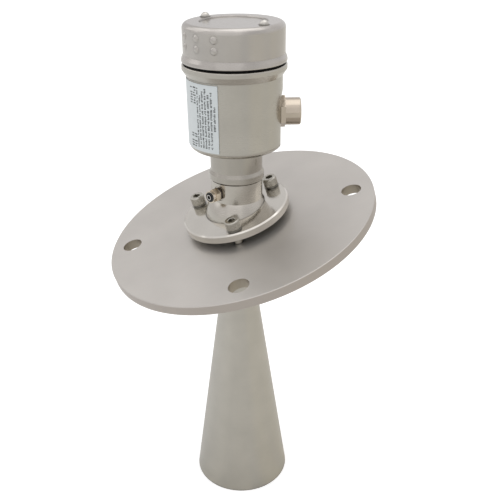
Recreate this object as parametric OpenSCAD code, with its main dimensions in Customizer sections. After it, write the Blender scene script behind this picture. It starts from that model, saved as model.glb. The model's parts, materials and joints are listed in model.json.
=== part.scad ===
// Radar level transmitter: a horn antenna on a ball joint that aims through a
// flange, with a drawn steel housing and a screwed lid above it.
// All sizes are in millimetres. The instrument axis is Z, the horn mouth lies
// on Z = 0 and the cable entry points along +X.

/* [Aiming] */
// Lean of the flange away from the instrument axis, in degrees
lean = 16.88; // [0:0.01:18]
// Compass direction towards which the flange normal leans, in degrees
lean_az = -158.5; // [-180:0.1:180]

/* [Flange] */
// Outer diameter of the flange plate
flange_d = 250; // [240:1:280]
// Thickness of the flange plate
flange_t = 9; // [6:0.5:12]
// Distance from the bolt circle to the rim of the plate
bolt_edge = 20; // [16:0.5:24]
// Diameter of each bolt hole
bolt_hole_d = 18; // [14:0.5:22]
// Number of bolt holes
bolt_count = 4; // [4:1:8]
// Turn of the bolt pattern, in degrees
bolt_phase = -1.9; // [-45:0.1:45]
// Bevel on the rim of the plate
flange_bevel = 0.6; // [0.3:0.1:1.5]
// Depth from the ball centre to the top face of the plate
flange_drop = 6.1; // [5.5:0.1:8]

/* [Clamp ring] */
// Metal between the screw heads and the rim of the clamp ring
clamp_margin = 2.05; // [1.5:0.05:5]
// Thickness of the clamp ring
clamp_t = 7.5; // [6:0.5:9]
// Open gap between the plate and the clamp ring
clamp_gap = 6.1; // [5.5:0.1:8]
// Bevel on the rim of the clamp ring
clamp_bevel = 1.2; // [0.5:0.1:2]
// Metal between the seat ring and the clamp screws
screw_gap = 0.75; // [0.5:0.05:2]
// Number of clamp screws
screw_count = 3; // [3:1:4]
// Turn of the clamp screws, in degrees
screw_phase = 28; // [-60:0.1:60]
// Thread diameter of a clamp screw
screw_d = 8; // [6:0.5:8]
// Head diameter of a clamp screw
screw_head_d = 13; // [10:0.5:13]
// Head height of a clamp screw
screw_head_h = 8; // [6:0.5:8]
// Key size of a clamp screw
screw_key = 6; // [4:0.5:7]
// Outer diameter of the spring washer under a clamp screw
spring_washer_d = 12.6; // [11:0.1:13]
// Thickness of the spring washer
spring_washer_t = 1.7; // [1:0.1:2.5]
// Width of the seat ring under the ball
seat_w = 7.2; // [6:0.1:9]
// Height of the seat ring
seat_h = 7; // [5:0.5:7.5]
// Depth of the recess that locates the seat ring
seat_recess = 2; // [1:0.5:3]

/* [Ball and neck] */
// Diameter of the ball
ball_d = 57; // [54:0.5:62]
// Step from the radius of the ball to the radius of the neck
neck_step = 5.6; // [5:0.1:6.5]
// Height of the lower neck above the ball centre
neck_h = 34.7; // [33:0.1:40]
// Step from the radius of the neck to the radius of the turning spigot
spigot_step = 3.3; // [3:0.1:4]
// Height of the turning spigot
spigot_h = 21.3; // [20:0.5:24]
// Diameter of the bore that carries the purge air
purge_bore_d = 17; // [15:0.5:17.5]
// Height of the shoulder that carries the waveguide above the seam
guide_seat_h = 8; // [6:0.5:12]
// Height of the neck seal above the seam
seal_h = 7; // [5:0.5:9]
// Height of the clip groove above the seam
clip_h = 14.6; // [13:0.1:16]
// Thickness of the retaining clip
clip_t = 1.4; // [1:0.1:1.8]
// Depth of the clip groove
clip_depth = 1.2; // [0.8:0.1:1.5]
// Reach of the retaining clip beyond the spigot
clip_reach = 1.6; // [1.2:0.1:1.8]

/* [Horn] */
// Outer diameter of the horn mouth
horn_mouth_d = 95; // [80:1:100]
// Outer diameter of the cone at its top
horn_throat_d = 26; // [25:0.5:28]
// Height of the cone
horn_cone_h = 248; // [200:1:280]
// Wall of the horn at its mouth
horn_wall = 1.5; // [1:0.1:3]
// Outer diameter of the socket on top of the horn
socket_d = 31; // [30:0.5:34]
// Height of the socket
socket_h = 16; // [14:0.5:20]
// Depth from the ball centre to the top of the socket
stub_h = 33; // [31:0.5:36]
// Diameter of the threaded nipple under the ball
nipple_d = 22; // [21:0.5:23]
// Bore of the horn throat
throat_bore_d = 19; // [17:0.5:19.5]
// Thickness of the flange of the emitter cone
emitter_t = 3; // [2:0.5:4]
// Length of the emitter cone
emitter_l = 40; // [25:1:60]
// Diameter of the emitter cone at its base
emitter_d = 13.6; // [11:0.2:14]
// Outer diameter of the waveguide tube
guide_d = 12; // [11:0.5:13]
// Bore of the waveguide tube
guide_bore_d = 9; // [7:0.5:10]

/* [Purge fitting] */
// Height of the purge port above the ball centre
port_h = 25.8; // [25:0.1:27]
// Compass direction of the purge port, in degrees
port_az = -134; // [-160:1:-110]
// Size of the hexagon across its flats
port_hex = 11; // [10:0.5:12]
// Length of the hexagon
port_hex_l = 5.5; // [4:0.2:7]
// Diameter of the round body
port_body_d = 10.6; // [10.2:0.1:11]
// Length of the round body
port_body_l = 2.9; // [2:0.1:6]
// Diameter of the screwed end
port_thread_d = 8; // [7:0.5:8.5]
// Outer diameter of the release collet
collet_d = 8.6; // [8:0.1:9]
// Bore of the release collet
collet_bore_d = 6.2; // [6:0.1:6.8]
// Travel of the release collet
collet_travel = 1.2; // [0.8:0.1:1.6]
// Outer diameter of the sleeve that supports the tube
insert_d = 4.9; // [4:0.1:5.2]
// Bore of the sleeve
insert_bore_d = 3.4; // [2.4:0.1:3.6]
// Length by which the sleeve stands out of the fitting
insert_stand = 1.2; // [0.6:0.1:2]
// Depth to which the tube pushes in
tube_depth = 7.5; // [7:0.5:9]
// Thickness of the metal washer under the fitting
port_washer_t = 1.4; // [0.8:0.1:2]
// Outer diameter of the rubber seal under the fitting
port_seal_d = 10.4; // [10:0.1:11]
// Thickness of the rubber seal
port_seal_t = 2.4; // [1.5:0.1:3]

/* [Housing] */
// Outer diameter of the drawn can
can_d = 80.8; // [79:0.2:82]
// Height of the can from its bottom to its rim
can_h = 73.1; // [70:0.5:90]
// Sheet thickness of the can
can_wall = 1.4; // [1:0.1:1.6]
// Height of the neck socket below the can
sleeve_h = 28.2; // [26:0.1:34]
// Width of the collar round the neck socket
collar_w = 1.5; // [1:0.1:3]
// Height of the straight band of the collar
collar_band = 4.8; // [3:0.1:8]
// Height of the lower bevel of the collar
collar_low = 1.4; // [0.8:0.1:2]
// Height of the upper bevel of the collar
collar_high = 3.2; // [1:0.1:4]
// Height of the neck socket inside the can
sleeve_inside = 2.4; // [2:0.1:4]
// Width by which the rolled rims stand out beyond the lid
rim_w = 1.7; // [1.2:0.1:3]
// Height of the straight band of a rolled rim
rim_band = 3; // [2:0.5:5]
// Height of the flare under the rim of the can
flare_h = 5.5; // [4:0.5:8]
// Width of the rounded bottom corner
corner_w = 9.5; // [7:0.5:11]
// Height of the rounded bottom corner
corner_h = 6; // [5:0.5:8]
// Depth of the flat pressed into the side for the cable entry
pad_depth = 2.3; // [2:0.05:2.5]
// Height of the flat above the middle of the cable entry
pad_rise = 15; // [14:0.5:18]
// Height of the slope above the flat
pad_slope_h = 6; // [4:0.5:9]
// Wall of the thread ring in the mouth of the can
ring_wall = 3; // [2:0.5:4]
// Depth of the thread ring below the rim of the can
ring_skirt = 13.5; // [12:0.5:16]

/* [Cable entry] */
// Height of the cable entry above the bottom of the can
entry_h = 31; // [28:0.2:36]
// Size of the hexagon across its flats
entry_hex = 24; // [22:0.5:24.5]
// Length of the hexagon
entry_hex_l = 4; // [3:0.2:6]
// Diameter of the round body
entry_d = 23.2; // [21.5:0.1:23.6]
// Length of the round body
entry_l = 13.2; // [10:0.1:18]
// Female thread bore for a cable gland
entry_bore_d = 18.5; // [17:0.1:19]
// Diameter of the screwed end
entry_thread_d = 20; // [18:0.5:20]
// Bore for the cable
cable_bore_d = 14; // [10:0.5:15]
// Thickness of the sealing washer
entry_washer_t = 0.4; // [0.3:0.1:1.5]
// Bevel on the mouth of the round body
entry_bevel = 0.8; // [0.4:0.1:1.5]
// Thickness of the nut inside the housing
entry_nut_t = 3.3; // [3:0.1:3.5]

/* [Nameplate] */
// Angle that the plate covers, in degrees
plate_angle = 90; // [60:1:110]
// Compass direction of the front edge of the plate, in degrees
plate_az = -110; // [-130:1:-90]
// Thickness of the plate
plate_t = 0.4; // [0.2:0.1:0.6]
// Clear wall above the plate
plate_margin = 1.2; // [0.5:0.1:5]

/* [Lid] */
// Step from the radius of the can to the radius of the lid
lid_step = 2; // [1.8:0.1:2.6]
// Height of the lid from the seal to its top
lid_h = 31.5; // [28:0.5:40]
// Sheet thickness of the lid
lid_wall = 1.5; // [1:0.1:1.7]
// Radius of the top corner
lid_corner = 4.7; // [4:0.1:5]
// Width of the raised edge round the recess in the top
lid_edge = 14.8; // [14.4:0.1:18]
// Depth of the recess
lid_recess = 1.1; // [0.6:0.1:1.5]
// Height of the screwed engagement above the rim
thread_h = 12; // [10:0.5:14]
// Thickness of the seal under the lid
lid_seal_t = 1.6; // [1.2:0.1:2.4]
// Diameter of each grip dimple
dimple_d = 6; // [5:0.2:7]
// Height of each grip dimple
dimple_h = 1.2; // [0.8:0.1:1.4]
// Angle between two columns of dimples, in degrees
dimple_step = 22.8; // [20:0.1:30]
// Compass direction of the middle column, in degrees
dimple_az = -134.6; // [-180:0.1:180]
// Distance between the two rows of dimples
dimple_row = 8.2; // [7.5:0.1:10]
// Depth from the lid top to the upper row
dimple_drop = 8.7; // [8:0.1:10]
// Compass direction of the first stud, in degrees
stud_az = 135.8; // [0:0.1:180]
// Diameter of the dome of a stud
stud_d = 7.6; // [6:0.1:8.2]
// Diameter of the foot of a stud
stud_foot_d = 8.8; // [8.4:0.1:9]
// Thickness of the foot of a stud
stud_foot_t = 0.6; // [0.5:0.1:2]

/* [Electronics] */
// Open space round the electronics cup
cup_gap = 8; // [7.5:0.1:9]
// Height of the electronics cup
cup_h = 42; // [38:0.5:42.5]
// Wall of the electronics cup
cup_wall = 2; // [1.5:0.1:2.5]
// Open space round the circuit boards
board_gap = 1; // [0.5:0.1:2]
// Thickness of the circuit boards
board_t = 1.6; // [1:0.1:2]
// Height of the spacers under each board
spacer_h = 11.6; // [10:0.1:12]
// Distance from the rim of a board to the middle of its spacers
spacer_edge = 5; // [4:0.5:6]
// Thickness of the cover of the electronics cup
cover_t = 3; // [2:0.5:4]
// Thickness of the rim of the radar module
module_rim_t = 2.5; // [2:0.5:4]
// Distance from the rim of the radar module to its screws
module_screw_edge = 5; // [4:0.5:7]
// Thread diameter of the small screws
small_screw_d = 3; // [2:0.5:3.5]
// Diameter of a capacitor
cap_d = 8; // [6:0.5:8.5]
// Height of a capacitor
cap_h = 9; // [7:0.5:10]
// Distance of the capacitors from the middle of the board
cap_x = 13; // [11:0.5:14]
// Distance from the rim of the cover to the ends of the terminal block
terminal_edge = 13; // [12:0.5:16]
// Depth of the terminal block
terminal_l = 12; // [10:0.5:13]
// Height of the terminal block
terminal_h = 9; // [8:0.5:12]
// Number of terminals
terminal_count = 4; // [2:1:4]
// Distance from the rim of the cover to the ends of the display module
display_edge = 11; // [10:0.5:14]
// Depth of the display module
display_l = 24; // [20:0.5:25]
// Height of the display module
display_h = 6; // [5:0.5:9]
// Width of the frame round the display
display_frame = 3; // [2:0.5:4]
// Height of the ground screw above the cover
ground_h = 3.2; // [2.8:0.1:4]

/* [Hidden] */
$fn = 64;

steel = [0.66, 0.64, 0.61];
bright_steel = [0.74, 0.72, 0.69];
nickel = [0.78, 0.72, 0.64];
rubber = [0.05, 0.05, 0.05];
ptfe = [0.93, 0.93, 0.90];
board_green = [0.08, 0.30, 0.18];
dark_plastic = [0.16, 0.17, 0.18];

// Clearances: running fits, seated fits and the small extra of a cut
fit = 0.3;
snug = 0.1;
eps = 0.5;

// Diameters that follow from one another
neck_d = ball_d - 2 * neck_step;
spigot_d = neck_d - 2 * spigot_step;
seat_d = ball_d + 2 * seat_w;
screw_circle_d = seat_d + 2 * screw_gap + screw_d;
clamp_d = screw_circle_d + screw_head_d + 2 * clamp_margin;
bolt_circle_d = flange_d - 2 * bolt_edge;
lid_d = can_d + 2 * lid_step;
rim_d = lid_d + 2 * rim_w;
cup_d = can_d - 2 * can_wall - 2 * cup_gap;
cup_bore_d = cup_d - 2 * cup_wall;
board_d = cup_bore_d - 2 * board_gap;

// Heights along the instrument axis
socket_top = horn_cone_h + socket_h;
ball_z = socket_top + stub_h;
seam_z = ball_z + neck_h;
spigot_top = seam_z + spigot_h;
can_z = seam_z + fit + sleeve_h;
rim_z = can_z + can_h;
lid_z = rim_z + lid_seal_t;
lid_top = lid_z + lid_h;

// Heights along the flange normal, from the ball centre
plate_top = -flange_drop;
clamp_low = plate_top + clamp_gap;
clamp_top = clamp_low + clamp_t;
seat_low = plate_top - seat_recess;
seat_gap = 0.02;
head_low = clamp_top + spring_washer_t;
head_bevel_h = 1;
head_bevel_w = 0.6;

// Horn: the inner cone ends in a ledge that carries the emitter
ledge_drop = 2;
ledge_z = horn_cone_h - ledge_drop;
nipple_z = ledge_z + emitter_t;
seal_w = 1.7;
emitter_tip_d = 1.6;
emitter_hole_d = 1.6;
emitter_holes = 6;

// Neck: guide for the waveguide, seal groove and clip groove in the spigot
guide_seat_z = seam_z + guide_seat_h;
seal_section = 2;
seal_z = seam_z + seal_h;
groove_open = 2;
clip_z = seam_z + clip_h;
clip_open = spigot_d / 4;
sleeve_ledge_z = clip_z - fit;
sleeve_bore_d = spigot_d + 2 * fit;
sleeve_recess_d = spigot_d + 2 * (clip_reach + fit + snug);
sleeve_top = can_z + can_wall + sleeve_inside;

// Purge port: distances from the instrument axis
port_z = ball_z + port_h;
spot_margin = 1.1;
spot_d = port_hex + 2 * spot_margin;
spot_sink = 0.15;
spot_r = sqrt(pow(neck_d / 2, 2) - pow(spot_d / 2, 2)) - spot_sink;
port_seal_r = spot_r + port_washer_t;
port_foot = port_seal_r + port_seal_t;
port_shoulder = port_foot + port_hex_l;
port_face = port_shoulder + port_body_l;
collet_l = 3.8;
collet_stand = 0.5;
collet_pocket = collet_l - collet_stand + collet_travel + snug;
insert_seat = 2;
insert_l = tube_depth + insert_seat;
insert_r = port_face - insert_l;

// Can: flat pad, cable entry and rolled rim
can_r = can_d / 2;
pad_x = can_r - pad_depth;
pad_inner_x = pad_x - can_wall;
entry_z = can_z + entry_h;
entry_foot = pad_x + entry_washer_t;
entry_shoulder = entry_foot + entry_hex_l;
pad_top_z = entry_z + pad_rise;
washer_edge = 0.5;
nut_stand = 0.6;
rim_r = rim_d / 2;
rim_round = 1.3;
lip_r = lid_d / 2 - lid_wall;
thread_r = lip_r - fit - snug;
ring_low_z = rim_z - ring_skirt;
ring_inner_r = thread_r - ring_wall;

// Lid
lid_r = lid_d / 2;
lid_recess_d = lid_d - 2 * lid_edge;
lid_rim_band = 2;
lid_rim_draft = 0.3;
lid_rim_slope = 3.2;
dimple_ball_r = (pow(dimple_d / 2, 2) + pow(dimple_h, 2)) / (2 * dimple_h);
recess_slope = 0.8;
stud_r = (lid_recess_d / 2 + recess_slope + lid_r - lid_corner) / 2;
stud_shank_d = 4;
stud_sink = 0.6;
stud_tail = 1.6;
stud_tail_d = 6.4;
seal_inset = 0.2;

// Electronics, stacked on the rim of the neck socket
launcher_h = 2;
launcher_step = 1;
module_low = spigot_top + launcher_h;
module_screw_r = neck_d / 2 - module_screw_edge;
module_screw_l = 5;
module_head_d = 5.5;
module_head_h = 2;
cup_z = sleeve_top + module_rim_t;
cup_floor_z = cup_z + cup_wall;
board1_z = cup_floor_z + spacer_h;
board2_z = board1_z + board_t + spacer_h;
cover_z = cup_z + cup_h;
cover_top = cover_z + cover_t;
cover_lip = 2;
spacer_d = 5;
spacer_count = 3;
spacer_r = board_d / 2 - spacer_edge;
cap_y = 6;
terminal_y = -14;
terminal_w = cup_d - 2 * terminal_edge;
terminal_pitch = terminal_w / terminal_count;
terminal_screw_d = 0.6 * terminal_pitch;
terminal_shift = 1;
wire_hole_d = terminal_h / 3;
wire_hole_rise = 0.2;
slot_w = 0.8;
slot_depth = 1;
display_y = 9;
display_w = cup_d - 2 * display_edge;
glass_t = 1;
ground_edge = 5.5;
ground_az = 196;
ground_head_d = 6;
ground_washer_d = 8;
ground_washer_t = 1;
ground_tip = 0.5;

// Points along an arc or a quarter of an ellipse
function arc(cx, cy, rx, ry, from, to, steps = 8) =
    [for (i = [0 : steps])
        let (a = from + (to - from) * i / steps) [cx + rx * cos(a), cy + ry * sin(a)]];

// Places its children in the frame of the leaning flange, at the ball centre
module on_flange() {
    translate([0, 0, ball_z])
        rotate([0, 0, lean_az])
            rotate([0, lean, 0])
                rotate([0, 0, -lean_az])
                    children();
}

// Places its children so that their Z runs outwards along the purge port
module at_port() {
    translate([0, 0, port_z])
        rotate([0, 0, port_az])
            rotate([0, 90, 0])
                children();
}

// Places its children so that their Z runs outwards along the cable entry
module at_entry() {
    translate([0, 0, entry_z])
        rotate([0, 90, 0])
            children();
}

module around(count, radius, phase = 0) {
    for (i = [0 : count - 1])
        rotate([0, 0, phase + i * 360 / count])
            translate([radius, 0, 0])
                children();
}

module ring(outer_d, inner_d, h) {
    difference() {
        cylinder(d = outer_d, h = h);
        translate([0, 0, -eps]) cylinder(d = inner_d, h = h + 2 * eps);
    }
}

module hexagon(flats, h) {
    cylinder(d = flats / cos(30), h = h, $fn = 6);
}

// ---- Flange group ----

module flange_plate() {
    color(bright_steel)
    on_flange()
        difference() {
            translate([0, 0, plate_top - flange_t])
                rotate_extrude($fn = 96)
                    polygon([
                        [0, 0],
                        [flange_d / 2 - flange_bevel, 0],
                        [flange_d / 2, flange_bevel],
                        [flange_d / 2, flange_t - flange_bevel],
                        [flange_d / 2 - flange_bevel, flange_t],
                        [0, flange_t]
                    ]);
            translate([0, 0, plate_top - flange_t - eps])
                cylinder(d = ball_d - 2 * snug, h = flange_t + 2 * eps);
            translate([0, 0, seat_low])
                cylinder(d = seat_d + 2 * fit, h = seat_recess + eps);
            translate([0, 0, plate_top - flange_t - eps])
                around(bolt_count, bolt_circle_d / 2, bolt_phase)
                    cylinder(d = bolt_hole_d, h = flange_t + 2 * eps);
            translate([0, 0, plate_top - flange_t - eps])
                around(screw_count, screw_circle_d / 2, screw_phase)
                    cylinder(d = screw_d + 2 * snug, h = flange_t + 2 * eps);
        }
}

module clamp_ring() {
    color(bright_steel)
    on_flange()
        difference() {
            translate([0, 0, clamp_low])
                rotate_extrude()
                    polygon([
                        [0, 0],
                        [clamp_d / 2 - clamp_bevel / 2, 0],
                        [clamp_d / 2, clamp_bevel / 2],
                        [clamp_d / 2, clamp_t - clamp_bevel],
                        [clamp_d / 2 - clamp_bevel, clamp_t],
                        [0, clamp_t]
                    ]);
            sphere(d = ball_d + 2 * fit);
            translate([0, 0, clamp_low - eps])
                around(screw_count, screw_circle_d / 2, screw_phase)
                    cylinder(d = screw_d + 2 * fit, h = clamp_t + 2 * eps);
        }
}

module clamp_screw() {
    shank_l = head_low - plate_top + flange_t;
    difference() {
        union() {
            cylinder(d = screw_head_d, h = screw_head_h - head_bevel_h);
            translate([0, 0, screw_head_h - head_bevel_h])
                cylinder(d1 = screw_head_d, d2 = screw_head_d - 2 * head_bevel_w,
                    h = head_bevel_h);
            translate([0, 0, -shank_l]) cylinder(d = screw_d, h = shank_l + eps);
        }
        translate([0, 0, screw_head_h / 2])
            hexagon(screw_key, screw_head_h);
    }
}

module clamp_screws() {
    color(steel)
    on_flange()
        translate([0, 0, head_low])
            around(screw_count, screw_circle_d / 2, screw_phase)
                clamp_screw();
}

module spring_washers() {
    color(steel)
    on_flange()
        translate([0, 0, clamp_top])
            around(screw_count, screw_circle_d / 2, screw_phase)
                ring(spring_washer_d, screw_d + 2 * snug, spring_washer_t);
}

module seat_ring() {
    color(dark_plastic)
    on_flange()
        difference() {
            translate([0, 0, seat_low + seat_gap]) cylinder(d = seat_d, h = seat_h);
            sphere(d = ball_d + 2 * fit);
        }
}

// ---- Ball, neck and horn ----

module ball_neck() {
    color(bright_steel)
    difference() {
        union() {
            translate([0, 0, ball_z]) sphere(d = ball_d, $fn = 96);
            translate([0, 0, nipple_z]) cylinder(d = nipple_d, h = ball_z - nipple_z);
            translate([0, 0, socket_top]) cylinder(d = socket_d, h = stub_h);
            translate([0, 0, ball_z]) cylinder(d = neck_d, h = neck_h);
            translate([0, 0, ball_z]) cylinder(d = spigot_d, h = neck_h + spigot_h);
        }
        translate([0, 0, nipple_z - eps])
            cylinder(d = purge_bore_d, h = guide_seat_z - nipple_z + eps);
        translate([0, 0, guide_seat_z - eps])
            cylinder(d = guide_d + 2 * snug, h = spigot_top - guide_seat_z + 2 * eps);
        translate([0, 0, spigot_top - emitter_t / 2])
            cylinder(d = purge_bore_d + 2 * snug, h = emitter_t);
        translate([0, 0, seal_z - seal_section / 2 - snug])
            ring(spigot_d + groove_open, spigot_d - 2 * seal_section + 2 * snug,
                seal_section + 2 * snug);
        translate([0, 0, clip_z - snug])
            ring(spigot_d + groove_open, spigot_d - 2 * clip_depth, clip_t + 2 * snug);
        at_port() {
            translate([0, 0, spot_r]) cylinder(d = spot_d, h = spot_d);
            cylinder(d = port_thread_d + 2 * snug, h = neck_d / 2);
        }
    }
}

module horn() {
    color(steel)
    rotate_extrude($fn = 96)
        polygon([
            [horn_mouth_d / 2 - horn_wall, 0],
            [horn_mouth_d / 2, 0],
            [horn_throat_d / 2, horn_cone_h],
            [socket_d / 2, horn_cone_h + (socket_d - horn_throat_d) / 2],
            [socket_d / 2, socket_top],
            [nipple_d / 2 + fit + seal_w, socket_top],
            [nipple_d / 2 + fit + seal_w, socket_top - seal_w - snug],
            [nipple_d / 2 + fit, socket_top - seal_w - snug],
            [nipple_d / 2 + fit, ledge_z],
            [throat_bore_d / 2, ledge_z]
        ]);
}

module horn_seal() {
    color(rubber)
    translate([0, 0, socket_top - seal_w])
        ring(nipple_d + 2 * (fit + seal_w - snug), nipple_d + 2 * snug, seal_w);
}

module horn_emitter() {
    color(ptfe)
    translate([0, 0, ledge_z])
        difference() {
            union() {
                cylinder(d = nipple_d, h = emitter_t);
                translate([0, 0, -emitter_l])
                    cylinder(d1 = emitter_tip_d, d2 = emitter_d, h = emitter_l);
            }
            translate([0, 0, -eps])
                around(emitter_holes, (throat_bore_d + emitter_d) / 4)
                    cylinder(d = emitter_hole_d, h = emitter_t + 2 * eps, $fn = 16);
        }
}

module waveguide() {
    color(nickel)
    difference() {
        union() {
            translate([0, 0, nipple_z]) cylinder(d = guide_d, h = spigot_top - nipple_z);
            translate([0, 0, spigot_top - emitter_t / 2])
                cylinder(d = purge_bore_d, h = emitter_t / 2);
        }
        translate([0, 0, nipple_z - eps])
            cylinder(d = guide_bore_d, h = spigot_top - nipple_z + 2 * eps);
    }
}

// ---- Purge fitting ----

module purge_fitting() {
    color(nickel)
    at_port()
        difference() {
            union() {
                translate([0, 0, port_foot]) hexagon(port_hex, port_hex_l);
                translate([0, 0, port_foot + eps])
                    cylinder(d = port_body_d, h = port_face - port_foot - eps);
                translate([0, 0, purge_bore_d / 2])
                    cylinder(d = port_thread_d, h = port_shoulder - purge_bore_d / 2);
            }
            cylinder(d = insert_bore_d, h = port_face + eps);
            translate([0, 0, insert_r])
                cylinder(d = insert_d + 2 * snug, h = insert_l + eps);
            translate([0, 0, port_face - tube_depth])
                cylinder(d = collet_bore_d, h = tube_depth + eps);
            translate([0, 0, port_face - collet_pocket])
                cylinder(d = collet_d + 2 * snug, h = collet_pocket + eps);
        }
}

module purge_washer() {
    color(nickel)
    at_port()
        translate([0, 0, spot_r])
            ring(port_hex, port_thread_d + 2 * snug, port_washer_t);
}

module purge_seal() {
    color(rubber)
    at_port()
        translate([0, 0, port_seal_r])
            ring(port_seal_d, port_thread_d + 2 * snug, port_seal_t);
}

module purge_insert() {
    color(steel)
    at_port()
        translate([0, 0, insert_r])
            ring(insert_d, insert_bore_d, insert_l + insert_stand);
}

module purge_collet() {
    color(rubber)
    at_port()
        translate([0, 0, port_face + collet_stand - collet_l])
            ring(collet_d, collet_bore_d, collet_l);
}

// ---- Turning joint of the housing ----

module neck_seal() {
    color(rubber)
    translate([0, 0, seal_z])
        rotate_extrude()
            translate([spigot_d / 2 - seal_section / 2 + snug, 0])
                circle(d = seal_section, $fn = 24);
}

module retaining_clip() {
    color(steel)
    translate([0, 0, clip_z])
        difference() {
            ring(spigot_d + 2 * clip_reach, spigot_d - 2 * clip_depth + 2 * snug, clip_t);
            translate([0, -clip_open / 2, -eps])
                cube([spigot_d, clip_open, clip_t + 2 * eps]);
        }
}

module neck_socket() {
    low = seam_z + fit;
    collar_r = neck_d / 2 + collar_w;
    color(bright_steel)
    difference() {
        rotate_extrude()
            polygon([
                [0, low],
                [neck_d / 2, low],
                [collar_r, low + collar_low],
                [collar_r, low + collar_low + collar_band],
                [neck_d / 2, low + collar_low + collar_band + collar_high],
                [neck_d / 2, sleeve_top],
                [0, sleeve_top]
            ]);
        translate([0, 0, low - eps])
            cylinder(d = sleeve_bore_d, h = sleeve_top);
        translate([0, 0, sleeve_ledge_z])
            cylinder(d = sleeve_recess_d, h = sleeve_top);
    }
}

// ---- Housing ----

// Solid of the can, drawn inwards by the given depth
module can_solid(inset) {
    r = can_r - inset;
    rim = rim_r - inset;
    difference() {
        rotate_extrude($fn = 96)
            polygon(concat(
                [[0, can_z + inset]],
                arc(can_r - corner_w, can_z + corner_h,
                    corner_w - inset, corner_h - inset, -90, 0),
                [
                    [r, rim_z - rim_round - rim_band - flare_h],
                    [rim, rim_z - rim_round - rim_band]
                ],
                arc(rim_r - rim_round - inset / 2, rim_z - rim_round - inset / 2,
                    rim_round - inset / 2, rim_round - inset / 2, 0, 90, 4),
                [[0, rim_z - inset]]
            ));
        rotate([90, 0, 0])
            translate([0, 0, -can_d])
                linear_extrude(2 * can_d)
                    polygon([
                        [pad_x - inset, can_z - eps],
                        [pad_x - inset, pad_top_z],
                        [can_r + eps - inset, pad_top_z + pad_slope_h * (1 + eps / pad_depth)],
                        [can_d, pad_top_z + pad_slope_h * (1 + eps / pad_depth)],
                        [can_d, can_z - eps]
                    ]);
    }
}

module housing_can() {
    color(steel)
    difference() {
        can_solid(0);
        can_solid(can_wall);
        translate([0, 0, rim_z - can_wall - eps])
            cylinder(r = lip_r, h = can_wall + 2 * eps);
        translate([0, 0, can_z - eps])
            cylinder(d = neck_d + 2 * snug, h = can_wall + 2 * eps);
        at_entry()
            cylinder(d = entry_thread_d + 2 * snug, h = can_d);
    }
}

module thread_ring() {
    top = rim_z - can_wall - snug;
    color(bright_steel)
    difference() {
        union() {
            intersection() {
                can_solid(can_wall + snug);
                translate([0, 0, ring_low_z]) cylinder(d = 2 * can_d, h = top - ring_low_z);
            }
            translate([0, 0, top - eps])
                cylinder(r = thread_r, h = lid_z + thread_h - top + eps);
        }
        translate([0, 0, ring_low_z - eps])
            cylinder(r = ring_inner_r, h = can_h);
    }
}

module nameplate() {
    low = can_z + corner_h;
    high = rim_z - rim_round - rim_band - flare_h - plate_margin;
    color([0.86, 0.88, 0.88])
    rotate([0, 0, plate_az - plate_angle])
        rotate_extrude(angle = plate_angle, $fn = 96)
            translate([can_r + snug / 2, low])
                square([plate_t, high - low]);
}

// ---- Cable entry ----

module cable_adapter() {
    thread_low = pad_inner_x - entry_nut_t - nut_stand;
    entry_end = entry_shoulder + entry_l;
    color(nickel)
    at_entry()
        difference() {
            union() {
                translate([0, 0, entry_foot]) hexagon(entry_hex, entry_hex_l);
                translate([0, 0, entry_foot + eps])
                    cylinder(d = entry_d, h = entry_end - entry_bevel - entry_foot - eps);
                translate([0, 0, entry_end - entry_bevel])
                    cylinder(d1 = entry_d, d2 = entry_d - 2 * entry_bevel, h = entry_bevel);
                translate([0, 0, thread_low])
                    cylinder(d = entry_thread_d, h = entry_shoulder - thread_low);
            }
            cylinder(d = cable_bore_d, h = entry_end + eps);
            translate([0, 0, entry_shoulder])
                cylinder(d = entry_bore_d, h = entry_l + eps);
        }
}

module adapter_washer() {
    color(rubber)
    at_entry()
        translate([0, 0, pad_x])
            ring(entry_hex - 2 * washer_edge, entry_thread_d + 2 * snug, entry_washer_t);
}

module adapter_nut() {
    color(nickel)
    at_entry()
        translate([0, 0, pad_inner_x - entry_nut_t])
            difference() {
                hexagon(entry_hex, entry_nut_t);
                translate([0, 0, -eps])
                    cylinder(d = entry_thread_d + 2 * snug, h = entry_nut_t + 2 * eps);
            }
}

// ---- Electronics ----

module radar_module() {
    color(bright_steel)
    difference() {
        union() {
            translate([0, 0, sleeve_top]) cylinder(d = neck_d, h = module_rim_t);
            translate([0, 0, module_low])
                cylinder(d = sleeve_recess_d - 2 * fit, h = sleeve_top - module_low + eps);
            translate([0, 0, spigot_top + fit])
                cylinder(d = purge_bore_d - 2 * launcher_step, h = launcher_h);
        }
        translate([0, 0, spigot_top])
            cylinder(d = guide_bore_d, h = sleeve_top - module_low);
        translate([0, 0, cup_floor_z - module_screw_l - snug])
            around(2, module_screw_r, 90)
                cylinder(d = small_screw_d + 2 * snug, h = module_screw_l);
    }
}

module electronics_cup() {
    color(dark_plastic)
    difference() {
        translate([0, 0, cup_z]) cylinder(d = cup_d, h = cup_h);
        translate([0, 0, cup_floor_z]) cylinder(d = cup_bore_d, h = cup_h);
        translate([0, 0, cup_z - eps]) {
            around(2, module_screw_r, 90)
                cylinder(d = small_screw_d + 2 * snug, h = cup_wall + 2 * eps);
            cylinder(d = small_screw_d, h = cup_wall + 2 * eps);
        }
    }
}

module module_screws() {
    color(steel)
    around(2, module_screw_r, 90) {
        translate([0, 0, cup_floor_z]) cylinder(d = module_head_d, h = module_head_h);
        translate([0, 0, cup_floor_z - module_screw_l])
            cylinder(d = small_screw_d, h = module_screw_l + eps);
    }
}

module board(z) {
    color(board_green)
    difference() {
        translate([0, 0, z]) cylinder(d = board_d, h = board_t);
        translate([0, 0, z - eps])
            around(spacer_count, spacer_r)
                cylinder(d = small_screw_d, h = board_t + 2 * eps);
    }
}

module main_board() {
    board(board1_z);
}

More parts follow.
